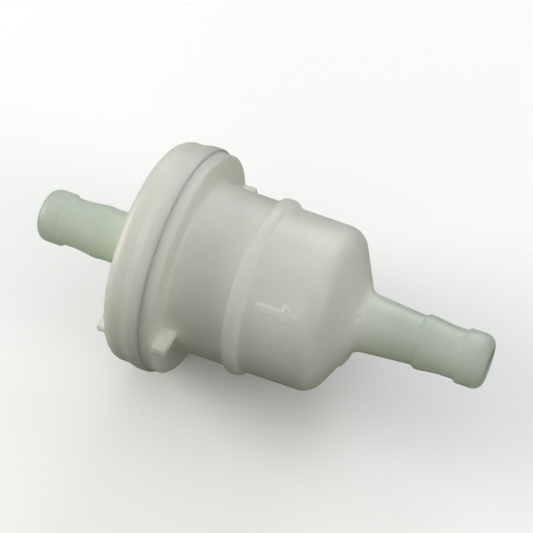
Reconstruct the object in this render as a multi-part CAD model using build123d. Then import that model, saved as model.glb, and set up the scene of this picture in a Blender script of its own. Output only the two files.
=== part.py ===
from build123d import *
import os
from math import cos, pi, radians, sin, tan

# In-line fuel filter for a small engine: a moulded nylon housing of two shells that are
# spin-welded at a flange, with a pleated paper cartridge inside.
# Frame: +X is the flow axis, from the inlet nozzle to the outlet nozzle, and +Z is up.
# The origin is on the flow axis, at the middle of the overall length. Sizes are in millimetres.
# Outlines are lists of (x, radius, corner rounding), turned about the X axis.

# ---- driving dimensions ----
OVERALL_LENGTH = 81.2
BORE_R = 2.6                # fuel passage through both nozzles
WALL = 1.6                  # wall of the moulded shells

# hose nozzles, the same at both ends; places along them are measured from the tip
TUBE_R = 4.26               # between the barbs
CREST_R = 4.7               # top of each barb
TIP_ROUND = 1.85            # rounding of the nozzle's tip
TIP_BARB_END = 4.4          # end of the level top of the barb at the tip
TIP_BARB_FOOT = 4.95        # foot of that barb's steep back
ROOT_BARB_RISE = 7.4        # where the ramp of the second barb starts
ROOT_BARB_LAND = (10.8, 11.5)
ROOT_BARB_FOOT = 12.2

# cover: the shell with the inlet nozzle
COVER_FACE_X = -20.25       # outer face of the cover
COVER_RIM_R = 19.6
COVER_EDGE_ROUND = 2.05
LIP_R = 20.0                # raised lip next to the weld
LIP_START_X = -15.1
LIP_RAMP = 1.6              # length of the gentle rise to the lip
INLET_ROOT_R = 4.6          # nozzle where it meets the cover
COVER_ROOM_R = 16.2         # inside of the cover
COVER_ROOM_X = -18.3

# body: the shell with the outlet nozzle
WELD_X = -13.2              # plane where the two shells meet
FLANGE_NECK_R = 19.2        # narrow groove between the lip and the flange
FLANGE_NECK_X = -12.8
FLANGE_R = 19.45
FLANGE_BACK_X = -11.1
BODY_R_AT_FLANGE = 14.75
BODY_R_AT_SHOULDER = 14.35
FLANGE_FILLET = 0.7
BEAD_X = 0.75               # round bead about the body
BEAD_HALF_WIDTH = 1.4
BEAD_HEIGHT = 0.95
SHOULDER_ROUND = 3.4
NECK_X = 18.7               # dome meets the outlet nozzle
NECK_R = 5.13
NECK_FILLET = 2.1
DOME_SLOPE = 62             # degrees between the dome's side and the flow axis

# tongue and groove of the spin weld
TONGUE_R = (17.1, 18.1)
TONGUE_DEPTH = 0.8

# ribs on both sides of the flange, at +Y and -Y
RIB_THICKNESS = 1.5
FLANGE_RIB_R = 19.1
FLANGE_RIB_END_X = -8.7
COVER_RIB_R = 18.7
COVER_RIB_END_X = -21.35

# flow arrow and gate pad on the body
ARROW_START_X = 4.0
ARROW_LENGTH = 7.0
ARROW_SHAFT_WIDTH = 1.2
ARROW_HEAD_WIDTH = 3.4
ARROW_HEAD_LENGTH = 2.6
ARROW_HEIGHT = 0.25
ARROW_TURN = 42             # degrees above -Y, about the flow axis
PAD_R = 1.5
PAD_HEIGHT = 0.4
PAD_AXIS_R = 9.0            # distance of the pad's centre from the flow axis
PAD_TURN = -72              # degrees above -Y, about the flow axis

# filter cartridge
CAP_R = 11.5
CAP_WALL = 1.2
INLET_CAP_X = -16.8         # outer face of the closed cap
OUTLET_CAP_X = 10.0         # outer face of the open cap
CUP_DEPTH = 1.8             # inside depth of each cap
STANDOFF_R = (4.5, 10.0)
STANDOFF_THICKNESS = 1.4
STANDOFF_COUNT = 4
PAPER_EMBED = 1.2           # how deep the paper and the core sit in the potting
PLEAT_COUNT = 22
PLEAT_OUTER_R = 10.2
PLEAT_INNER_R = 5.7
PAPER_THICKNESS = 0.3
FOLD_HALF_WIDTH = 0.45
CORE_R = 5.2
CORE_BORE_R = 4.3
CORE_HOLE_R = 0.9
CORE_HOLE_ROWS = 5
CORE_HOLES_ACROSS = 3       # each one drilled through both sides of the tube
CLIP_THICKNESS = 0.2
CLIP_LEG = 1.6

# spigot of the outlet cap, in a socket in the body
SPIGOT_R = 4.5
SPIGOT_BORE_R = 2.9
SPIGOT_END_X = 16.6
SOCKET_R = 4.7
SOCKET_X = (13.2, 17.0)     # mouth and floor of the socket
SOCKET_WALL = 1.5
SEAL_SECTION = 1.0
SEAL_X = 15.0
SEAL_GROOVE_WIDTH = 1.3

# ---- derived ----
INLET_TIP_X = -OVERALL_LENGTH / 2
OUTLET_TIP_X = OVERALL_LENGTH / 2
CUP_R = CAP_R - CAP_WALL
INLET_CUP_X = INLET_CAP_X + CAP_WALL
OUTLET_CUP_X = OUTLET_CAP_X - CAP_WALL
PAPER_X = (INLET_CUP_X + CUP_DEPTH - PAPER_EMBED, OUTLET_CUP_X - CUP_DEPTH + PAPER_EMBED)
SEAL_GROOVE_R = SOCKET_R - SEAL_SECTION
SLOPE = tan(radians(DOME_SLOPE))
SHOULDER_X = NECK_X - (BODY_R_AT_SHOULDER - NECK_R) / SLOPE   # corner of the outline, before rounding


def turned(outline):
    """Solid of revolution about X of a closed outline of (x, radius, corner rounding)."""
    corners = [(x, r) for x, r, rounding in outline]
    roundings = [rounding for x, r, rounding in outline]
    return revolve(make_face(FilletPolyline(*corners, radius=roundings, close=True)), axis=Axis.X)


def tube(x_range, outer_r, inner_r):
    """Plain tube about X, or a disc where inner_r is 0."""
    start, end = x_range
    return turned([(start, inner_r, 0), (end, inner_r, 0), (end, outer_r, 0), (start, outer_r, 0)])


def around(shape, turn):
    """The shape turned about the flow axis by some degrees."""
    return Rot(turn, 0, 0) * shape


def block(x_range, y_range, thickness):
    """Flat block with its thickness in Z, centred on the XY plane."""
    width = x_range[1] - x_range[0]
    depth = y_range[1] - y_range[0]
    centre = ((x_range[0] + x_range[1]) / 2, (y_range[0] + y_range[1]) / 2, 0)
    return Pos(centre) * Box(width, depth, thickness)


def nozzle_outline(tip_x, inward):
    """Outer outline of a nozzle, from its tip to the foot of the second barb.

    `inward` is +1 where the housing lies on the +X side of the tip, and -1 at the other end.
    """
    stations = [
        (0, BORE_R, 0.2),
        (0, CREST_R, TIP_ROUND),
        (TIP_BARB_END, CREST_R, 0.15),
        (TIP_BARB_FOOT, TUBE_R, 0.25),
        (ROOT_BARB_RISE, TUBE_R, 2.0),
        (ROOT_BARB_LAND[0], CREST_R, 0.8),
        (ROOT_BARB_LAND[1], CREST_R, 0.15),
    ]
    return [(tip_x + inward * along, r, rounding) for along, r, rounding in stations]


def body_radius(x):
    """Outer radius of the slightly tapered body at x."""
    share = (x - FLANGE_BACK_X) / (SHOULDER_X - FLANGE_BACK_X)
    return BODY_R_AT_FLANGE + share * (BODY_R_AT_SHOULDER - BODY_R_AT_FLANGE)


def make_inlet_cover():
    outline = nozzle_outline(INLET_TIP_X, 1) + [
        (INLET_TIP_X + ROOT_BARB_FOOT, INLET_ROOT_R, 0.1),
        (COVER_FACE_X, INLET_ROOT_R, 0.5),
        (COVER_FACE_X, COVER_RIM_R, COVER_EDGE_ROUND),
        (LIP_START_X - LIP_RAMP, COVER_RIM_R, 2.0),
        (LIP_START_X, LIP_R, 1.6),
        (WELD_X, LIP_R, 0.3),
        (WELD_X, TONGUE_R[1], 0),
        (WELD_X + TONGUE_DEPTH, TONGUE_R[1], 0),
        (WELD_X + TONGUE_DEPTH, TONGUE_R[0], 0),
        (WELD_X, TONGUE_R[0], 0),
        (WELD_X, COVER_ROOM_R, 0),
        (COVER_ROOM_X, COVER_ROOM_R, 1.2),
        (COVER_ROOM_X, BORE_R, 0.4),
    ]
    cover = turned(outline)
    for side in (0, 180):
        rib_x = (COVER_RIB_END_X, COVER_FACE_X + WALL / 2)
        rib_r = (INLET_ROOT_R - WALL / 4, COVER_RIB_R)
        cover += around(block(rib_x, rib_r, RIB_THICKNESS), side)
    return cover


def make_body_shell():
    room_r = BODY_R_AT_FLANGE - WALL
    room_end_r = BODY_R_AT_SHOULDER - WALL
    inner_neck_x = NECK_X - WALL / sin(radians(DOME_SLOPE))
    boss_r = SOCKET_R + SOCKET_WALL
    boss_foot_x = inner_neck_x - (boss_r - NECK_R) / SLOPE
    room_corner_x = inner_neck_x - (room_end_r - NECK_R) / SLOPE
    outline = nozzle_outline(OUTLET_TIP_X, -1) + [
        (OUTLET_TIP_X - ROOT_BARB_FOOT, TUBE_R, 0.25),
        (NECK_X, NECK_R, NECK_FILLET),
        (SHOULDER_X, BODY_R_AT_SHOULDER, SHOULDER_ROUND),
        (BEAD_X + BEAD_HALF_WIDTH, body_radius(BEAD_X + BEAD_HALF_WIDTH), 0.3),
        (BEAD_X + BEAD_HALF_WIDTH * 0.62, body_radius(BEAD_X) + BEAD_HEIGHT, 0.8),
        (BEAD_X - BEAD_HALF_WIDTH * 0.62, body_radius(BEAD_X) + BEAD_HEIGHT, 0.8),
        (BEAD_X - BEAD_HALF_WIDTH, body_radius(BEAD_X - BEAD_HALF_WIDTH), 0.3),
        (FLANGE_BACK_X, BODY_R_AT_FLANGE, FLANGE_FILLET),
        (FLANGE_BACK_X, FLANGE_R, 0.35),
        (FLANGE_NECK_X, FLANGE_R, 0.2),
        (FLANGE_NECK_X, FLANGE_NECK_R, 0),
        (WELD_X, FLANGE_NECK_R, 0),
        (WELD_X, TONGUE_R[1], 0),
        (WELD_X + TONGUE_DEPTH, TONGUE_R[1], 0),
        (WELD_X + TONGUE_DEPTH, TONGUE_R[0], 0),
        (WELD_X, TONGUE_R[0], 0),
        (WELD_X, room_r, 0.4),
        (room_corner_x, room_end_r, 2.6),
        (boss_foot_x, boss_r, 0.6),
        (SOCKET_X[0], boss_r, 0.3),
        (SOCKET_X[0], SOCKET_R, 0.3),
        (SOCKET_X[1], SOCKET_R, 0.2),
        (SOCKET_X[1], BORE_R, 0),
    ]
    body = turned(outline)
    for side in (0, 180):
        rib_x = (FLANGE_BACK_X - WALL / 4, FLANGE_RIB_END_X)
        rib_r = (BODY_R_AT_FLANGE - WALL / 2, FLANGE_RIB_R)
        body += around(block(rib_x, rib_r, RIB_THICKNESS), side)
    body += flow_arrow()
    body += gate_pad()
    return body


def flow_arrow():
    """Low raised arrow on the body that points to the outlet."""
    head_x = ARROW_START_X + ARROW_LENGTH - ARROW_HEAD_LENGTH
    half_shaft = ARROW_SHAFT_WIDTH / 2
    half_head = ARROW_HEAD_WIDTH / 2
    outline = [
        (ARROW_START_X, -half_shaft),
        (head_x, -half_shaft),
        (head_x, -half_head),
        (ARROW_START_X + ARROW_LENGTH, 0),
        (head_x, half_head),
        (head_x, half_shaft),
        (ARROW_START_X, half_shaft),
    ]
    prism = extrude(make_face(Polyline(*outline, close=True)), amount=BODY_R_AT_FLANGE * 2)
    arrow_x = (ARROW_START_X - 1, ARROW_START_X + ARROW_LENGTH + 1)
    skin = turned([
        (arrow_x[0], body_radius(arrow_x[0]) - WALL / 2, 0),
        (arrow_x[1], body_radius(arrow_x[1]) - WALL / 2, 0),
        (arrow_x[1], body_radius(arrow_x[1]) + ARROW_HEIGHT, 0),
        (arrow_x[0], body_radius(arrow_x[0]) + ARROW_HEIGHT, 0),
    ])
    # the prism points to +Z, and -Y lies 90 degrees further round
    return around(prism & skin, 90 - ARROW_TURN)


def gate_pad():
    """Small round pad on the dome's side, square to its surface."""
    pad_x = NECK_X - (PAD_AXIS_R - NECK_R) / SLOPE
    from_base = (Align.CENTER, Align.CENTER, Align.MIN)
    pad = Pos(0, 0, -WALL / 2) * Cylinder(PAD_R, WALL / 2 + PAD_HEIGHT, align=from_base)
    on_side = Pos(pad_x, 0, PAD_AXIS_R) * Rot(0, 90 - DOME_SLOPE, 0) * pad
    return around(on_side, 90 - PAD_TURN)


def at_angle(radius, angle, sideways=0):
    """Point (y, z) at an angle about the flow axis, moved sideways along the tangent."""
    return (radius * cos(angle) - sideways * sin(angle), radius * sin(angle) + sideways * cos(angle))


def star(outer_r, inner_r, outer_half, inner_half, x_range):
    """Prism about X of a star with PLEAT_COUNT narrow flat points."""
    step = 2 * pi / PLEAT_COUNT
    points = []
    for pleat in range(PLEAT_COUNT):
        crest = pleat * step
        valley = crest + step / 2
        points.append(at_angle(outer_r, crest, -outer_half))
        points.append(at_angle(outer_r, crest, outer_half))
        points.append(at_angle(inner_r, valley, -inner_half))
        points.append(at_angle(inner_r, valley, inner_half))
    face = Plane.YZ * make_face(Polyline(*points, close=True))
    return Pos(x_range[0], 0, 0) * extrude(face, amount=x_range[1] - x_range[0])


def paper_envelope(x_range):
    """Everything within the paper's outer surface."""
    inner_half = FOLD_HALF_WIDTH - PAPER_THICKNESS
    return star(PLEAT_OUTER_R, PLEAT_INNER_R + PAPER_THICKNESS, FOLD_HALF_WIDTH, inner_half, x_range)


def make_pleated_paper():
    inner_half = FOLD_HALF_WIDTH - PAPER_THICKNESS
    hollow = star(PLEAT_OUTER_R - PAPER_THICKNESS, PLEAT_INNER_R, inner_half, FOLD_HALF_WIDTH, PAPER_X)
    return paper_envelope(PAPER_X) - hollow


def make_seam_clip():
    """Thin folded strip that grips the pleat where the two ends of the paper meet."""
    clip_x = (INLET_CUP_X + CUP_DEPTH, OUTLET_CUP_X - CUP_DEPTH)
    leg_r = (PLEAT_OUTER_R - CLIP_LEG, PLEAT_OUTER_R + CLIP_THICKNESS)
    leg_width = 2 * (FOLD_HALF_WIDTH + 2 * CLIP_THICKNESS)
    return block(clip_x, leg_r, leg_width) - paper_envelope(clip_x)


def make_core_tube():
    core = tube(PAPER_X, CORE_R, CORE_BORE_R)
    pitch = (PAPER_X[1] - PAPER_X[0]) / (CORE_HOLE_ROWS + 1)
    for row in range(CORE_HOLE_ROWS):
        for hole in range(CORE_HOLES_ACROSS):
            drill = Pos(PAPER_X[0] + (row + 1) * pitch, 0, 0) * Cylinder(CORE_HOLE_R, 3 * CORE_R)
            core -= around(drill, hole * 180 / CORE_HOLES_ACROSS)
    return core


def make_inlet_end_cap():
    """Closed cup over the cartridge's inlet end, held off the cover by standoffs."""
    cap = turned([
        (INLET_CAP_X, 0, 0),
        (INLET_CAP_X, CAP_R, 0.4),
        (INLET_CUP_X + CUP_DEPTH, CAP_R, 0),
        (INLET_CUP_X + CUP_DEPTH, CUP_R, 0),
        (INLET_CUP_X, CUP_R, 0),
        (INLET_CUP_X, 0, 0),
    ])
    for standoff in range(STANDOFF_COUNT):
        rib = block((COVER_ROOM_X, INLET_CAP_X + CAP_WALL / 2), STANDOFF_R, STANDOFF_THICKNESS)
        cap += around(rib, standoff * 360 / STANDOFF_COUNT)
    return cap


def make_outlet_end_cap():
    """Open cup over the cartridge's outlet end, with the grooved spigot for the socket."""
    groove = (SEAL_X - SEAL_GROOVE_WIDTH / 2, SEAL_X + SEAL_GROOVE_WIDTH / 2)
    return turned([
        (OUTLET_CUP_X, SPIGOT_BORE_R, 0.4),
        (OUTLET_CUP_X, CUP_R, 0),
        (OUTLET_CUP_X - CUP_DEPTH, CUP_R, 0),
        (OUTLET_CUP_X - CUP_DEPTH, CAP_R, 0),
        (OUTLET_CAP_X, CAP_R, 0.4),
        (OUTLET_CAP_X, SPIGOT_R, 0.5),
        (groove[0], SPIGOT_R, 0),
        (groove[0], SEAL_GROOVE_R, 0),
        (groove[1], SEAL_GROOVE_R, 0),
        (groove[1], SPIGOT_R, 0),
        (SPIGOT_END_X, SPIGOT_R, 0.3),
        (SPIGOT_END_X, SPIGOT_BORE_R, 0),
    ])


def make_potting(cup_x, hole_r):
    """Adhesive that fills a cap's cup, from cup_x on, around the ends of the paper and the core."""
    disc = tube((cup_x, cup_x + CUP_DEPTH), CUP_R, hole_r)
    return disc - make_pleated_paper() - tube(PAPER_X, CORE_R, CORE_BORE_R)


def make_spigot_seal():
    """O-ring between the spigot's groove and the socket."""
    ring_r = (SOCKET_R + SEAL_GROOVE_R) / 2
    return Pos(SEAL_X, 0, 0) * Rot(0, 90, 0) * Torus(ring_r, SEAL_SECTION / 2)


PARTS = {
    "inlet_cover": make_inlet_cover(),
    "body_shell": make_body_shell(),
    "pleated_paper": make_pleated_paper(),
    "paper_seam_clip": make_seam_clip(),
    "core_tube": make_core_tube(),
    "inlet_end_cap": make_inlet_end_cap(),
    "outlet_end_cap": make_outlet_end_cap(),
    "inlet_potting": make_potting(INLET_CUP_X, 0),
    "outlet_potting": make_potting(OUTLET_CUP_X - CUP_DEPTH, CORE_BORE_R),
    "spigot_seal_ring": make_spigot_seal(),
}

os.makedirs("parts", exist_ok=True)
for name, shape in PARTS.items():
    export_step(shape, f"parts/{name}.step")
    print(name, round(shape.volume, 1), shape.is_valid)
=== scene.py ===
import math

import bmesh
import bpy
import numpy as np
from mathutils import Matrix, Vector


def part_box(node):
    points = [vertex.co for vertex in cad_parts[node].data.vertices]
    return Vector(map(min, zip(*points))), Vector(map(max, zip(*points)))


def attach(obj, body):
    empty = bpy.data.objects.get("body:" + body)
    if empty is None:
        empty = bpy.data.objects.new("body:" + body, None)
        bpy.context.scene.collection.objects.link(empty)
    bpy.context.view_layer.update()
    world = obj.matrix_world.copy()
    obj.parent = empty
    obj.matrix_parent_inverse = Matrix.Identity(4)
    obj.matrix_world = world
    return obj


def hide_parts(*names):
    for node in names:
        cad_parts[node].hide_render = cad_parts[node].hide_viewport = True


# In-line fuel filter: two milky nylon shells, spin-welded at a flange, around a paper cartridge.
# Shell outlines are in millimetres in the CAD frame: +X is the flow axis, r the distance from it.
# Each outline point is (x, r, corner rounding).

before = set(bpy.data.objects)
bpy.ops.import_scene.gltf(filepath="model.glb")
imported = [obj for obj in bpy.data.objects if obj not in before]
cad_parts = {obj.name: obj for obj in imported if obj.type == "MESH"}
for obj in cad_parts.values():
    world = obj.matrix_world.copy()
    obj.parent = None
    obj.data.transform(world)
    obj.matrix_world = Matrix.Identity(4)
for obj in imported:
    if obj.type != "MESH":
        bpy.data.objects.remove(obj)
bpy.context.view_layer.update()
MM = 0.001

# ---- sizes of the mouldings, in millimetres ----
INLET_TIP_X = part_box("inlet_cover")[0].x / MM
OUTLET_TIP_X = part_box("body_shell")[1].x / MM
LIP_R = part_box("inlet_cover")[1].z / MM
BORE_R = 2.6
WALL = 1.6
TUBE_R = 4.26
CREST_R = 4.7
TIP_ROUND = 1.85
TIP_BARB_END = 4.4
TIP_BARB_FOOT = 4.95
ROOT_BARB_RISE = 7.4
ROOT_BARB_LAND = (10.8, 11.5)
ROOT_BARB_FOOT = 12.2
COVER_FACE_X = -20.25
COVER_RIM_R = 19.6
COVER_EDGE_ROUND = 2.05
LIP_START_X = -15.1
LIP_RAMP = 1.6
INLET_ROOT_R = 4.6
COVER_ROOM_R = 16.2
COVER_ROOM_X = -18.3
WELD_X = -13.2
WELD_FLASH_R = 19.72        # the weld's flash fills the groove beside the lip
FLANGE_NECK_X = -12.8
FLANGE_R = 19.45
FLANGE_BACK_X = -11.1
BODY_R_AT_FLANGE = 14.75
BODY_R_AT_SHOULDER = 14.35
FLANGE_FILLET = 0.7
BEAD_X = 0.75
BEAD_HALF_WIDTH = 1.4
BEAD_HEIGHT = 0.95
BEAD_TOP_SHARE = 0.62       # part of the bead's width that its flat top takes
SHOULDER_ROUND = 3.4
NECK_X = 18.7
NECK_R = 5.13
NECK_FILLET = 2.1
DOME_SLOPE = math.tan(math.radians(62))
TONGUE_R = (17.1, 18.1)
TONGUE_DEPTH = 0.8
SOCKET_R = 4.7
SOCKET_X = (13.2, 17.0)
SOCKET_WALL = 1.5

RIB_HALF = 0.75
RIB_ROUND = 0.28
FLANGE_RIB_R = 19.1
FLANGE_RIB_END_X = -8.7
COVER_RIB_R = 18.7
COVER_RIB_END_X = -21.35

ARROW_START_X = 4.0
ARROW_LENGTH = 7.0
ARROW_SHAFT_WIDTH = 1.2
ARROW_HEAD_WIDTH = 3.4
ARROW_HEAD_LENGTH = 2.6
ARROW_HEIGHT = 0.25
ARROW_TURN = 42
PAD_R = 1.5
PAD_HEIGHT = 0.4
PAD_AXIS_R = 9.0
PAD_TURN = -72
PAD_X = NECK_X - (PAD_AXIS_R - NECK_R) / DOME_SLOPE
GATE_PLACE = (18.9, 5.65)   # x and r of the mark that the moulding's runner left
GATE_TURN = 61
GATE_R = 0.3
GATE_DEPTH = 0.4
ARROW_SOFTNESS = 0.38       # widths over which raised details rise
PAD_SOFTNESS = 0.3
GATE_SOFTNESS = 0.2
WAVINESS = 0.006            # how far a moulding's surface wanders
WAVES = ((0.5, 3, 0.31), (0.3, 7, -0.77), (0.2, 13, 1.7))   # size, waves around, turn per millimetre

# ---- mesh density ----
STEP = 0.55                 # along an outline, in plain stretches
FINE_STEP = 0.13            # across raised details
DETAIL_MARGIN = 0.4         # finer stretch around a raised detail
GATE_REACH = 0.8            # finest stretch around the gate mark
ARC_TURN = math.radians(15)
LINE_TURN = math.radians(2.0)
RIB_EVEN_STATIONS = 27      # along a rib
RIB_BASE_SPREAD = 1.0       # extra stations on each side of a corner under or on a rib
RIB_TOP_SPREAD = 0.35
SAME_PLACE = 1e-4           # points closer than this are one point


def smooth_step(value):
    """0 to 1 with level ends."""
    t = np.clip(value, 0, 1)
    return t * t * (3 - 2 * t)


# ---- outlines ----
def unit(vector):
    return vector / np.linalg.norm(vector)


def corner_arc(before, corner, after, rounding, step):
    """Points of the arc that rounds a corner, or the corner alone."""
    corner = np.array(corner, float)
    if rounding == 0:
        return [corner]
    back = unit(np.array(before) - corner)
    ahead = unit(np.array(after) - corner)
    half = math.acos(np.clip(back @ ahead, -1, 1)) / 2
    centre = corner + unit(back + ahead) * rounding / math.sin(half)
    first, last = (
        math.atan2(*(corner + side * rounding / math.tan(half) - centre)[::-1]) for side in (back, ahead)
    )
    turn = (last - first + math.pi) % (2 * math.pi) - math.pi
    pieces = max(3, math.ceil(abs(turn) / ARC_TURN), math.ceil(rounding * abs(turn) / step))
    angles = [first + turn * k / pieces for k in range(pieces + 1)]
    return [centre + rounding * np.array((math.cos(a), math.sin(a))) for a in angles]


def rounded(outline, step_at, closed):
    """Points along an outline of (x, r, rounding), with every rounding as an arc."""
    count = len(outline)
    corners = [point[:2] for point in outline]
    runs = []
    for i, (x, r, rounding) in enumerate(outline):
        after = corners[(i + 1) % count]
        runs.append(corner_arc(corners[i - 1], (x, r), after, rounding, step_at((x, r))))
    points = []
    for i in range(count if closed else count - 1):
        start = runs[i][-1]
        end = runs[(i + 1) % count][0]
        length = np.linalg.norm(end - start)
        points.extend(runs[i])
        along = step_at(start)
        while along < length - 0.3 * step_at(end):
            place = start + (end - start) * along / length
            points.append(place)
            along += step_at(place)
    if not closed:
        points.extend(runs[-1])
    points = np.array(points)
    apart = np.linalg.norm(points - np.roll(points, 1, axis=0), axis=1) > SAME_PLACE
    return points[apart]


def resampled(path, shares):
    """Points at the given shares of a path's length."""
    steps = np.linalg.norm(np.diff(path, axis=0), axis=1)
    along = np.concatenate([[0], np.cumsum(steps)]) / steps.sum()
    return np.stack([np.interp(shares, along, path[:, k]) for k in (0, 1)], 1)


def corner_shares(path, corner, spread):
    """Shares of a path's length that lie close to one of its corners."""
    steps = np.linalg.norm(np.diff(path, axis=0), axis=1)
    along = np.concatenate([[0], np.cumsum(steps)]) / steps.sum()
    near = along[np.argmin(np.linalg.norm(path - np.array(corner), axis=1))]
    return near + spread / steps.sum() * np.linspace(-1, 1, 9)


def nozzle_outline(tip_x, inward):
    """Outer outline of a nozzle, from its tip to the second barb's crest."""
    stations = [
        (0, BORE_R, 0.2),
        (0, CREST_R, TIP_ROUND),
        (TIP_BARB_END, CREST_R, 0.15),
        (TIP_BARB_FOOT, TUBE_R, 0.25),
        (ROOT_BARB_RISE, TUBE_R, 2.0),
        (ROOT_BARB_LAND[0], CREST_R, 0.8),
        (ROOT_BARB_LAND[1], CREST_R, 0.15),
    ]
    return [(tip_x + inward * along, r, rounding) for along, r, rounding in stations]


def body_radius(x):
    """Outer radius of the slightly tapered body."""
    shoulder_x = NECK_X - (BODY_R_AT_SHOULDER - NECK_R) / DOME_SLOPE
    share = (x - FLANGE_BACK_X) / (shoulder_x - FLANGE_BACK_X)
    return BODY_R_AT_FLANGE + share * (BODY_R_AT_SHOULDER - BODY_R_AT_FLANGE)


class Shell:
    """Outline of a turned moulding, with the stretch that its ribs cover."""

    def __init__(self, outline, rib_outline):
        points = rounded(outline, step_at, True)
        points, first = split_at(points, rib_outline[0][:2])
        points, last = split_at(points, rib_outline[-1][:2])
        base = points[first:last + 1]
        top = rounded(rib_outline, lambda place: 0.1, False)
        shares = [np.linspace(0, 1, RIB_EVEN_STATIONS)]
        shares += [corner_shares(base, point[:2], RIB_BASE_SPREAD) for point in outline if point[2] > 0]
        shares += [corner_shares(top, point[:2], RIB_TOP_SPREAD) for point in rib_outline[1:-1]]
        shares = np.unique(np.round(np.clip(np.concatenate(shares), 0, 1), 3))
        self.base = resampled(base, shares)
        self.top = resampled(top, shares)
        self.rib = slice(first, first + len(shares))
        self.points = np.concatenate([points[:first], self.base, points[last + 1:]])

    def normals(self):
        """Outward normals of the outline, in its own plane."""
        ahead = np.roll(self.points, -1, axis=0) - np.roll(self.points, 1, axis=0)
        ahead /= np.linalg.norm(ahead, axis=1)[:, None]
        x, r = self.points.T
        clockwise = np.sum(x * np.roll(r, -1) - np.roll(x, -1) * r) < 0
        normal = np.stack([-ahead[:, 1], ahead[:, 0]], 1)
        return normal if clockwise else -normal


def split_at(points, target):
    """The outline with the point of it that is nearest to the target put in, and that point's index."""
    target = np.array(target)
    starts = points[:-1]
    runs = points[1:] - starts
    along = np.sum((target - starts) * runs, axis=1) / np.sum(runs * runs, axis=1)
    places = starts + np.clip(along, 0, 1)[:, None] * runs
    nearest = int(np.argmin(np.linalg.norm(places - target, axis=1)))
    return np.insert(points, nearest + 1, places[nearest], axis=0), nearest + 1


def rib_lines():
    """Distances from a rib's mid plane, with the part of the rib's height and the rounding there."""
    rows = [(w, 1, 0) for w in np.linspace(0, RIB_HALF - RIB_ROUND, 4)]
    quarters = [math.radians(22.5 * k) for k in range(5)]
    for a in quarters[1:]:
        rows.append((RIB_HALF - RIB_ROUND + RIB_ROUND * math.sin(a), 1, RIB_ROUND * (1 - math.cos(a))))
    for a in quarters:
        rows.append((RIB_HALF + 0.03 + RIB_ROUND * (1 - math.cos(a)), 0, RIB_ROUND * (1 - math.sin(a))))
    return rows


def shell_grid(shell, rib_reach, details):
    """Positions (x, r, turn) of a shell's grid.

    Within rib_reach, a range of radii, the ribs' sides are parallel.
    """
    rise = shell.top - shell.base
    full = np.linalg.norm(rise, axis=1)
    direction = rise / np.maximum(full, 1e-6)[:, None]
    columns = []
    turns = []

    def add(turn, points):
        turns.append(turn)
        columns.append(points)

    def add_rib_line(middle, side, w, share, rounding):
        points = shell.points.copy()
        lift = np.maximum(full - rounding, 0) if share else np.minimum(full, rounding)
        points[shell.rib] += direction * lift[:, None]
        add(middle + side * np.arcsin(w / np.clip(points[:, 1], *rib_reach)), points)

    rows = rib_lines()
    widest = rows[-1][0]
    edge = math.asin(widest / rib_reach[0]) + LINE_TURN
    blends = max(2, math.ceil((edge - math.asin(widest / rib_reach[1])) / LINE_TURN))
    rib_edge = np.arcsin(widest / np.clip(shell.points[:, 1], *rib_reach))
    for middle in (0, math.pi):
        for row in rows[::-1]:
            add_rib_line(middle, -1, *row)
        for row in rows[1:]:
            add_rib_line(middle, 1, *row)
        open_start = middle + edge
        open_end = middle + math.pi - edge
        near_side = middle + rib_edge
        far_side = middle + math.pi - rib_edge
        for k in range(1, blends + 1):
            add(near_side + (open_start - near_side) * k / blends, shell.points)
        for turn in open_angles(open_start, open_end, details):
            add(np.full(len(shell.points), turn), shell.points)
        for k in range(blends):
            add(open_end + (far_side - open_end) * k / blends, shell.points)
    turns = np.stack(turns, 1)
    x, r = np.stack(columns, 1).transpose(2, 0, 1)
    normals = shell.normals()
    for detail in details:
        height = detail.height(x, r, turns)
        x = x + height * normals[:, :1]
        r = r + height * normals[:, 1:]
    return x, r, turns


def open_angles(start, end, details):
    """Angles from start to end, closer together across each raised detail."""
    angles = []
    turn = start + LINE_TURN
    while turn < end - 0.5 * LINE_TURN:
        angles.append(turn)
        step = LINE_TURN
        for detail in details:
            away = abs((turn - detail.turn + math.pi) % (2 * math.pi) - math.pi)
            if away < detail.half_turn:
                step = min(step, detail.line_turn)
            elif away < detail.half_turn + LINE_TURN:
                step = min(step, LINE_TURN / 3)
        turn += step
    return angles


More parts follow.
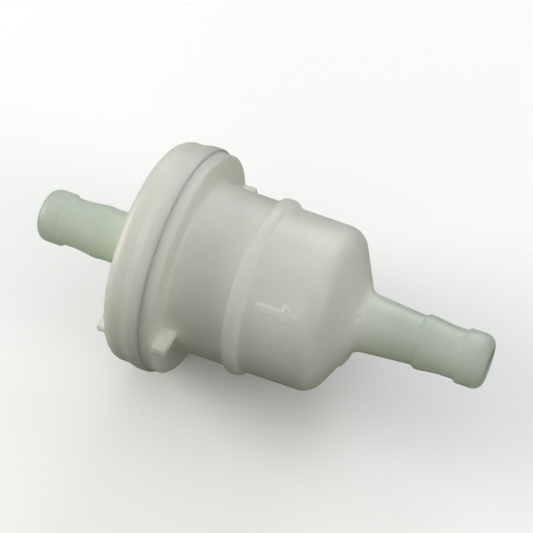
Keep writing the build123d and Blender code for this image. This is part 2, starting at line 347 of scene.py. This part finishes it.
class Arrow:
    """Low raised flow arrow that points to the outlet."""

    def __init__(self):
        self.turn = math.pi - math.radians(ARROW_TURN)
        self.half_turn = (ARROW_HEAD_WIDTH / 2 + DETAIL_MARGIN) / BODY_R_AT_SHOULDER
        self.line_turn = FINE_STEP / BODY_R_AT_SHOULDER
        head_x = ARROW_START_X + ARROW_LENGTH - ARROW_HEAD_LENGTH
        shaft = ARROW_SHAFT_WIDTH / 2
        head = ARROW_HEAD_WIDTH / 2
        self.corners = [
            (ARROW_START_X, -shaft), (head_x, -shaft), (head_x, -head), (ARROW_START_X + ARROW_LENGTH, 0),
            (head_x, head), (head_x, shaft), (ARROW_START_X, shaft),
        ]

    def height(self, x, r, turns):
        w = r * ((turns - self.turn + math.pi) % (2 * math.pi) - math.pi)
        away = np.full(x.shape, 1e3)
        inside = np.zeros(x.shape, bool)
        for i, (x0, w0) in enumerate(self.corners):
            x1, w1 = self.corners[(i + 1) % len(self.corners)]
            run_x = x1 - x0
            run_w = w1 - w0
            along = ((x - x0) * run_x + (w - w0) * run_w) / (run_x ** 2 + run_w ** 2)
            along = np.clip(along, 0, 1)
            away = np.minimum(away, np.hypot(x - x0 - along * run_x, w - w0 - along * run_w))
            crosses = (w0 > w) != (w1 > w)
            with np.errstate(divide="ignore", invalid="ignore"):
                at = x0 + (w - w0) * run_x / run_w
            inside ^= crosses & (x < at)
        depth = np.where(inside, away, -away)
        on_outside = r > BODY_R_AT_SHOULDER - WALL / 2
        return ARROW_HEIGHT * smooth_step(depth / ARROW_SOFTNESS + 0.5) * on_outside


class RoundMark:
    """Small round pad, or a pit where the height is negative, on the outside of the body shell."""

    def __init__(self, x, axis_r, turn, radius, height, softness):
        self.x = x
        self.axis_r = axis_r
        self.turn = math.pi - math.radians(turn)
        self.radius = radius
        self.rise = height
        self.softness = softness
        self.half_turn = (radius + softness) / (axis_r - radius)
        self.line_turn = radius / 9 / axis_r

    def height(self, x, r, turns):
        w = r * ((turns - self.turn + math.pi) % (2 * math.pi) - math.pi)
        depth = self.radius - np.sqrt((x - self.x) ** 2 + (r - self.axis_r) ** 2 + w ** 2)
        return self.rise * smooth_step(depth / self.softness + 0.5)


def grid_mesh(name, x, r, turns):
    """Closed mesh object of a shell's grid, in metres, with the slight waviness of a moulding."""
    wave = sum(size * np.sin(count * turns + lead * x) for size, count, lead in WAVES)
    r = r - WAVINESS * (1 + wave)
    points = np.stack([x, r * np.cos(turns), r * np.sin(turns)], 2) * MM
    index = np.arange(x.size).reshape(x.shape)
    across = np.roll(index, -1, axis=1)
    quads = np.stack([index, across, np.roll(across, -1, axis=0), np.roll(index, -1, axis=0)], 2)
    mesh = bpy.data.meshes.new(name)
    mesh.from_pydata(points.reshape(-1, 3).tolist(), [], quads.reshape(-1, 4).tolist())
    tidy = bmesh.new()
    tidy.from_mesh(mesh)
    bmesh.ops.recalc_face_normals(tidy, faces=tidy.faces)
    tidy.to_mesh(mesh)
    tidy.free()
    mesh.shade_smooth()
    piece = bpy.data.objects.new(name, mesh)
    bpy.context.scene.collection.objects.link(piece)
    return piece


def step_at(place):
    """Spacing of the stations at a place on an outline."""
    x, r = place
    if math.hypot(x - GATE_PLACE[0], r - GATE_PLACE[1]) < GATE_REACH:
        return FINE_STEP / 2
    arrow_low = ARROW_START_X - DETAIL_MARGIN
    arrow_high = ARROW_START_X + ARROW_LENGTH + DETAIL_MARGIN
    on_arrow = arrow_low < x < arrow_high and r > BODY_R_AT_SHOULDER - WALL / 2
    on_pad = math.hypot(x - PAD_X, r - PAD_AXIS_R) < PAD_R + DETAIL_MARGIN
    return FINE_STEP if on_arrow or on_pad else STEP


# ---- the two shells ----
def inlet_cover():
    """Cover with the inlet nozzle, from the bore outwards and round to the weld and the inside."""
    outline = [
        (-30, BORE_R, 0),
        *nozzle_outline(INLET_TIP_X, 1),
        (INLET_TIP_X + ROOT_BARB_FOOT, INLET_ROOT_R, 0.1),
        (COVER_FACE_X, INLET_ROOT_R, 0.5),
        (COVER_FACE_X, COVER_RIM_R, COVER_EDGE_ROUND),
        (LIP_START_X - LIP_RAMP, COVER_RIM_R, 2.0),
        (LIP_START_X, LIP_R, 1.6),
        (WELD_X, LIP_R, 0.3),
        (WELD_X, TONGUE_R[1], 0),
        (WELD_X + TONGUE_DEPTH, TONGUE_R[1], 0),
        (WELD_X + TONGUE_DEPTH, TONGUE_R[0], 0),
        (WELD_X, TONGUE_R[0], 0),
        (WELD_X, COVER_ROOM_R, 0),
        (COVER_ROOM_X, COVER_ROOM_R, 1.2),
        (COVER_ROOM_X, BORE_R, 0.4),
    ]
    edge_turn = math.asin((COVER_RIB_R - COVER_RIM_R + COVER_EDGE_ROUND) / COVER_EDGE_ROUND)
    rib_foot_x = COVER_FACE_X + COVER_EDGE_ROUND * (1 - math.cos(edge_turn))
    rib = [
        (COVER_RIB_END_X, INLET_ROOT_R, 0),
        (COVER_RIB_END_X, COVER_RIB_R, RIB_ROUND),
        (rib_foot_x, COVER_RIB_R, 0),
    ]
    grid = shell_grid(Shell(outline, rib), (INLET_ROOT_R, COVER_RIB_R), [])
    return grid_mesh("inlet_cover_moulding", *grid)


def body_shell():
    """Body with the outlet nozzle, from the bore outwards and round to the weld and the inside."""
    inner_neck_x = NECK_X - WALL / math.sin(math.atan(DOME_SLOPE))
    boss_r = SOCKET_R + SOCKET_WALL
    room_end_r = BODY_R_AT_SHOULDER - WALL
    bead_top = BEAD_HALF_WIDTH * BEAD_TOP_SHARE
    outline = [
        (30, BORE_R, 0),
        *nozzle_outline(OUTLET_TIP_X, -1),
        (OUTLET_TIP_X - ROOT_BARB_FOOT, TUBE_R, 0.25),
        (NECK_X, NECK_R, NECK_FILLET),
        (NECK_X - (BODY_R_AT_SHOULDER - NECK_R) / DOME_SLOPE, BODY_R_AT_SHOULDER, SHOULDER_ROUND),
        (BEAD_X + BEAD_HALF_WIDTH, body_radius(BEAD_X + BEAD_HALF_WIDTH), 0.3),
        (BEAD_X + bead_top, body_radius(BEAD_X) + BEAD_HEIGHT, 0.8),
        (BEAD_X - bead_top, body_radius(BEAD_X) + BEAD_HEIGHT, 0.8),
        (BEAD_X - BEAD_HALF_WIDTH, body_radius(BEAD_X - BEAD_HALF_WIDTH), 0.3),
        (FLANGE_BACK_X, BODY_R_AT_FLANGE, FLANGE_FILLET),
        (FLANGE_BACK_X, FLANGE_R, 0.35),
        (FLANGE_NECK_X, FLANGE_R, 0.3),
        (WELD_X, WELD_FLASH_R, 0),
        (WELD_X, TONGUE_R[1], 0),
        (WELD_X + TONGUE_DEPTH, TONGUE_R[1], 0),
        (WELD_X + TONGUE_DEPTH, TONGUE_R[0], 0),
        (WELD_X, TONGUE_R[0], 0),
        (WELD_X, BODY_R_AT_FLANGE - WALL, 0.4),
        (inner_neck_x - (room_end_r - NECK_R) / DOME_SLOPE, room_end_r, 2.6),
        (inner_neck_x - (boss_r - NECK_R) / DOME_SLOPE, boss_r, 0.6),
        (SOCKET_X[0], boss_r, 0.3),
        (SOCKET_X[0], SOCKET_R, 0.3),
        (SOCKET_X[1], SOCKET_R, 0.2),
        (SOCKET_X[1], BORE_R, 0),
    ]
    rib = [
        (FLANGE_RIB_END_X, body_radius(FLANGE_RIB_END_X), 0),
        (FLANGE_RIB_END_X, FLANGE_RIB_R, RIB_ROUND),
        (FLANGE_BACK_X, FLANGE_RIB_R, 0),
    ]
    details = [
        Arrow(),
        RoundMark(PAD_X, PAD_AXIS_R, PAD_TURN, PAD_R, PAD_HEIGHT, PAD_SOFTNESS),
        RoundMark(*GATE_PLACE, GATE_TURN, GATE_R, -GATE_DEPTH, GATE_SOFTNESS),
    ]
    grid = shell_grid(Shell(outline, rib), (BODY_R_AT_SHOULDER, FLANGE_RIB_R), details)
    return grid_mesh("body_shell_moulding", *grid)


# ---- materials ----
class Nodes:
    """Short way to write a procedural material."""

    def __init__(self, name):
        self.material = bpy.data.materials.new(name)
        self.material.use_nodes = True
        self.tree = self.material.node_tree
        self.shader = self.tree.nodes["Principled BSDF"]
        self.place = self.add("ShaderNodeTexCoord").outputs["Object"]

    def add(self, kind, inputs=(), **settings):
        node = self.tree.nodes.new(kind)
        for key, value in settings.items():
            setattr(node, key, value)
        for key, value in dict(inputs).items():
            self.put(node.inputs[key], value)
        return node

    def put(self, socket, value):
        if isinstance(value, bpy.types.NodeSocket):
            self.tree.links.new(value, socket)
        else:
            socket.default_value = value

    def noise(self, scale, detail=3.0, roughness=0.5, stretch=(1, 1, 1)):
        place = self.add("ShaderNodeMapping", {"Vector": self.place, "Scale": stretch}).outputs[0]
        settings = {"Vector": place, "Scale": scale, "Detail": detail, "Roughness": roughness}
        return self.add("ShaderNodeTexNoise", settings).outputs["Fac"]

    def ramp(self, value, *stops):
        node = self.add("ShaderNodeValToRGB", {"Fac": value})
        stop_list = node.color_ramp.elements
        while len(stop_list) < len(stops):
            stop_list.new(0.5)
        for stop, (at, colour) in zip(stop_list, stops):
            stop.position = at
            stop.color = (*colour, 1)
        return node.outputs["Color"]

    def between(self, value, low, high, to_low, to_high):
        settings = {"Value": value, "From Min": low, "From Max": high, "To Min": to_low, "To Max": to_high}
        return self.add("ShaderNodeMapRange", settings).outputs["Result"]

    def mix(self, share, first, second):
        node = self.add("ShaderNodeMix", data_type="RGBA")
        for socket, value in zip([i for i in node.inputs if i.enabled], (share, first, second)):
            self.put(socket, value)
        return node.outputs[2]

    def bump(self, height, strength, distance, before=None):
        settings = {"Height": height, "Strength": strength, "Distance": distance}
        if before is not None:
            settings["Normal"] = before
        return self.add("ShaderNodeBump", settings).outputs["Normal"]

    def vector(self, operation, *inputs):
        return self.add("ShaderNodeVectorMath", enumerate(inputs), operation=operation).outputs

    def finished(self, colour, roughness, normal):
        """The material, with its colour, roughness and relief in the shader."""
        self.put(self.shader.inputs["Base Color"], colour)
        self.put(self.shader.inputs["Roughness"], roughness)
        self.put(self.shader.inputs["Normal"], normal)
        return self.material


def nylon():
    """Milky natural nylon with a satin skin. The thin nozzles get a darker, greener copy of the colour as
    painted shade, and light spreads further in them. The gate pit is darkened with painted shade.
    """
    nodes = Nodes("natural_nylon_skin")
    along = nodes.add("ShaderNodeSeparateXYZ", {"Vector": nodes.place}).outputs["X"]
    to_outlet = nodes.between(along, 18 * MM, 25 * MM, 0, 1)
    to_inlet = nodes.between(along, COVER_FACE_X * MM, (COVER_FACE_X - 3) * MM, 0, 1)
    on_nozzle = nodes.add("ShaderNodeMath", {0: to_outlet, 1: to_inlet}, operation="ADD").outputs[0]
    clouds = nodes.noise(110, 4.0, 0.55, (0.6, 1, 1))
    shell = nodes.ramp(clouds, (0.32, (0.600, 0.610, 0.565)), (0.68, (0.645, 0.660, 0.622)))
    # Painted shade: the nozzles' ramp is a darker, greener copy of the shell's nylon, standing in for the
    # light that their thin walls send back less of.
    nozzle = nodes.ramp(clouds, (0.32, (0.442, 0.490, 0.436)), (0.68, (0.475, 0.528, 0.474)))
    colour = nodes.mix(on_nozzle, shell, nozzle)
    specks = nodes.between(nodes.noise(2400, 1.0), 0.70, 0.80, 0, 0.22)
    colour = nodes.mix(specks, colour, (0.42, 0.43, 0.36, 1))
    gate_turn = math.radians(GATE_TURN)
    gate_x, gate_r = GATE_PLACE
    gate = Vector((gate_x, -gate_r * math.cos(gate_turn), gate_r * math.sin(gate_turn))) * MM
    # Painted shade: the colour darkens in and around the gate pit.
    to_gate = nodes.vector("DISTANCE", nodes.place, gate)["Value"]
    painted_gate_pit_shade = nodes.between(to_gate, 0.25 * MM, 0.5 * MM, 0.6, 0)
    colour = nodes.mix(painted_gate_pit_shade, colour, (0.20, 0.20, 0.17, 1))
    rough = nodes.between(nodes.noise(420, 4.0, 0.6), 0.3, 0.7, 0.34, 0.46)
    grain = nodes.bump(nodes.noise(5200, 2.0), 0.10, 0.02 * MM)
    skin = nodes.bump(nodes.noise(650, 2.0), 0.12, 0.06 * MM, grain)
    shader = nodes.shader
    shader.inputs["IOR"].default_value = 1.52
    shader.subsurface_method = "BURLEY"
    from_axis = nodes.vector("MULTIPLY", nodes.place, (0, 1, 1))["Vector"]
    radius = nodes.vector("LENGTH", from_axis)["Value"]
    outside_bore = nodes.between(radius, (BORE_R + 0.2) * MM, (BORE_R + 1) * MM, 0, 1)
    nodes.put(shader.inputs["Subsurface Weight"], outside_bore)
    spread = nodes.mix(on_nozzle, (1.0, 1.0, 0.85, 1), (3.0, 3.3, 2.7, 1))
    nodes.put(shader.inputs["Subsurface Radius"], spread)
    shader.inputs["Subsurface Scale"].default_value = 5 * MM
    return nodes.finished(colour, rough, skin)


def filter_paper():
    """Resin-treated filter paper: pale cream, with short fibres in every direction."""
    nodes = Nodes("pleated_filter_paper")
    fibres = nodes.noise(900, 5.0, 0.7, (0.35, 1, 1))
    blotches = nodes.noise(240, 3.0)
    tint = nodes.ramp(blotches, (0.3, (0.72, 0.66, 0.50)), (0.7, (0.80, 0.75, 0.60)))
    colour = nodes.mix(nodes.between(fibres, 0.35, 0.7, 0, 0.4), tint, (0.60, 0.53, 0.38, 1))
    rough = nodes.between(fibres, 0.3, 0.7, 0.82, 0.95)
    return nodes.finished(colour, rough, nodes.bump(fibres, 0.35, 0.08 * MM))


def moulded_plastic(name, dark, light, roughness):
    """Plain moulded plastic with faint flow marks along the part."""
    nodes = Nodes(name)
    flow = nodes.noise(160, 4.0, 0.6, (0.3, 1, 1))
    grain = nodes.noise(3200, 2.0)
    colour = nodes.ramp(flow, (0.3, dark), (0.7, light))
    rough = nodes.between(flow, 0.3, 0.7, roughness - 0.05, roughness + 0.08)
    return nodes.finished(colour, rough, nodes.bump(grain, 0.15, 0.03 * MM))


def potting():
    """Cured adhesive: honey-coloured and glossy, with small trapped bubbles."""
    nodes = Nodes("cured_potting")
    cloud = nodes.noise(300, 3.0)
    cells = nodes.add("ShaderNodeTexVoronoi", {"Vector": nodes.place, "Scale": 1400})
    bubbles = cells.outputs["Distance"]
    colour = nodes.ramp(cloud, (0.3, (0.55, 0.40, 0.18)), (0.7, (0.68, 0.52, 0.27)))
    rough = nodes.between(cloud, 0.3, 0.7, 0.18, 0.30)
    return nodes.finished(colour, rough, nodes.bump(bubbles, 0.25, 0.06 * MM))


def clip_steel():
    """Tinned steel strip, brushed along its length."""
    nodes = Nodes("tinned_clip_steel")
    brush = nodes.noise(2600, 3.0, 0.6, (0.04, 1, 1))
    colour = nodes.ramp(brush, (0.3, (0.50, 0.50, 0.49)), (0.7, (0.66, 0.66, 0.65)))
    rough = nodes.between(brush, 0.3, 0.7, 0.24, 0.40)
    nodes.shader.inputs["Metallic"].default_value = 1.0
    return nodes.finished(colour, rough, nodes.bump(brush, 0.2, 0.02 * MM))


def seal_rubber():
    """Black nitrile rubber, dull, with a light bloom."""
    nodes = Nodes("nitrile_rubber")
    bloom = nodes.noise(700, 4.0, 0.65)
    colour = nodes.ramp(bloom, (0.35, (0.012, 0.012, 0.013)), (0.75, (0.04, 0.04, 0.042)))
    rough = nodes.between(bloom, 0.3, 0.7, 0.48, 0.66)
    return nodes.finished(colour, rough, nodes.bump(nodes.noise(4200, 2.0), 0.2, 0.03 * MM))


def give(piece, material):
    """One material over a whole new piece."""
    piece.data.materials.clear()
    piece.data.materials.append(material)


def finish_cartridge():
    """Materials for the pieces inside the housing, which keep their CAD shapes."""
    cap = moulded_plastic("acetal_caps", (0.66, 0.67, 0.65), (0.75, 0.76, 0.74), 0.42)
    core = moulded_plastic("polypropylene_core", (0.58, 0.60, 0.60), (0.68, 0.70, 0.70), 0.5)
    glue = potting()
    finishes = {
        "pleated_paper": filter_paper(),
        "paper_seam_clip": clip_steel(),
        "core_tube": core,
        "inlet_end_cap": cap,
        "outlet_end_cap": cap,
        "inlet_potting": glue,
        "outlet_potting": glue,
        "spigot_seal_ring": seal_rubber(),
    }
    for node, material in finishes.items():
        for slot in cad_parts[node].material_slots:
            slot.material = material


# ---- camera, light and floor ----
CAMERA_TARGET = Vector((0.0, 0.00278, 0.00199))
CAMERA_DISTANCE = 0.27624
CAMERA_AZIMUTH = 23.25
CAMERA_ELEVATION = 52.17
CAMERA_LENS = 110.76
FILL_DISTANCE = 0.6
FILL_SIZE = 0.35
FLOOR_HALF = 3.0


def around_object(azimuth, elevation, distance):
    """Place at a distance from the camera's target. Azimuth 0 is on the -Y side, and 90 on the +X side."""
    a = math.radians(azimuth)
    e = math.radians(elevation)
    away = Vector((math.sin(a) * math.cos(e), -math.cos(a) * math.cos(e), math.sin(e)))
    return CAMERA_TARGET + away * distance


def aimed(thing, azimuth, elevation, distance):
    thing.location = around_object(azimuth, elevation, distance)
    thing.rotation_euler = (CAMERA_TARGET - thing.location).to_track_quat("-Z", "Y").to_euler()
    bpy.context.scene.collection.objects.link(thing)
    return thing


def camera():
    data = bpy.data.cameras.new("camera")
    data.lens = CAMERA_LENS
    data.sensor_width = 36
    data.clip_start = 0.01
    data.clip_end = 20
    bpy.context.scene.camera = aimed(
        bpy.data.objects.new("camera", data), CAMERA_AZIMUTH, CAMERA_ELEVATION, CAMERA_DISTANCE
    )


def soft_light(name, azimuth, elevation, distance, size, power, colour):
    data = bpy.data.lights.new(name, "AREA")
    data.shape = "DISK"
    data.size = size
    data.energy = power
    data.color = colour
    aimed(bpy.data.objects.new(name, data), azimuth, elevation, distance)


def studio():
    """Wide soft light from above, with weaker fills from the sides and the back."""
    cool = (0.95, 0.975, 1.0)
    warm = (1.0, 0.98, 0.88)
    soft_light("overhead_softbox", 0, 89, 0.8, 2.4, 9.0, cool)
    soft_light("left_fill", -80, 18, FILL_DISTANCE, FILL_SIZE, 2.25, warm)
    soft_light("front_fill", 0, 25, FILL_DISTANCE, FILL_SIZE, 0.1, warm)
    soft_light("right_fill", 80, 25, FILL_DISTANCE, FILL_SIZE, 1.0, warm)
    soft_light("back_fill", 180, 30, FILL_DISTANCE, FILL_SIZE, 1.1, cool)
    world = bpy.data.worlds.new("studio_world")
    world.use_nodes = True
    background = world.node_tree.nodes["Background"]
    background.inputs["Color"].default_value = (1.0, 0.99, 0.76, 1)
    background.inputs["Strength"].default_value = 0.14
    bpy.context.scene.world = world
    bpy.context.scene.view_settings.view_transform = "Standard"


def floor():
    """Plain pale floor that the flange's lip stands on. It sends no light back up at the object."""
    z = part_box("inlet_cover")[0].z
    signs = ((-1, -1), (1, -1), (1, 1), (-1, 1))
    corners = [(across * FLOOR_HALF, away * FLOOR_HALF, z) for across, away in signs]
    mesh = bpy.data.meshes.new("floor")
    mesh.from_pydata(corners, [], [(0, 1, 2, 3)])
    piece = bpy.data.objects.new("floor", mesh)
    bpy.context.scene.collection.objects.link(piece)
    piece.visible_diffuse = False
    piece.visible_glossy = False
    nodes = Nodes("floor_paper")
    colour = nodes.ramp(nodes.noise(8, 2.0), (0.3, (0.925, 0.93, 0.955)), (0.7, (0.945, 0.95, 0.975)))
    nodes.put(nodes.shader.inputs["Base Color"], colour)
    nodes.shader.inputs["Roughness"].default_value = 0.9
    give(piece, nodes.material)


def add_shells():
    """The two nylon mouldings, in place of the CAD's."""
    skin = nylon()
    for make, node in ((inlet_cover, "inlet_cover"), (body_shell, "body_shell")):
        shell = make()
        give(shell, skin)
        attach(shell, "root")
        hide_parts(node)


camera()
studio()
floor()
finish_cartridge()
add_shells()
